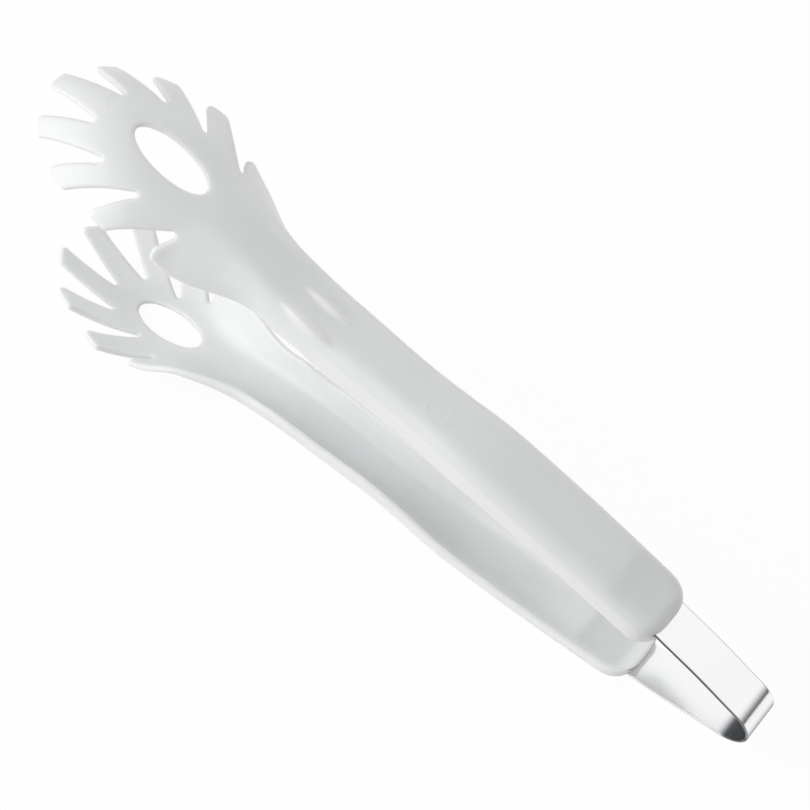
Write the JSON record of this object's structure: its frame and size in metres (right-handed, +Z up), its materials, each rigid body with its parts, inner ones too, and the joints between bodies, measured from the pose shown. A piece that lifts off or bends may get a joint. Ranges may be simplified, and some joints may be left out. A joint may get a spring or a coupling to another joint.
{
  "type": "pasta tongs",
  "caption": "Moulded plastic pasta tongs: dished heads with curled, meshing fingers and an oval hole, trough handles, one U-bent steel spring strip.",
  "frame": {"origin": "middle of the flat land on the lower handle's back, on the surface that the tongs lie on", "axes": "+X from the heads to the spring's bend, +Y across the tongs, +Z up from the surface through the lower arm to the upper arm"},
  "size_m": [0.3037, 0.0592, 0.1208],
  "materials": {
    "white_plastic": "moulded white plastic, satin to semi-gloss",
    "polished_steel": "polished stainless spring steel"
  },
  "bodies": {
    "lower_half": {"lower_arm": "white_plastic", "spring_lower_leg": "polished_steel", "spring_bend": "polished_steel"},
    "upper_half": {"upper_arm": "white_plastic", "spring_upper_leg": "polished_steel"}
  },
  "joints": [
    {"name": "squeeze", "type": "hinge", "parent": "lower_half", "child": "upper_half", "pos_m": [0.06922, 0, 0.01991], "axis": [0, 1, 0], "range_deg": [-18, 10], "stiffness_Nm_per_rad": 2.8, "springref_deg": 0.84, "deforming": ["spring_bend"]}
  ]
}
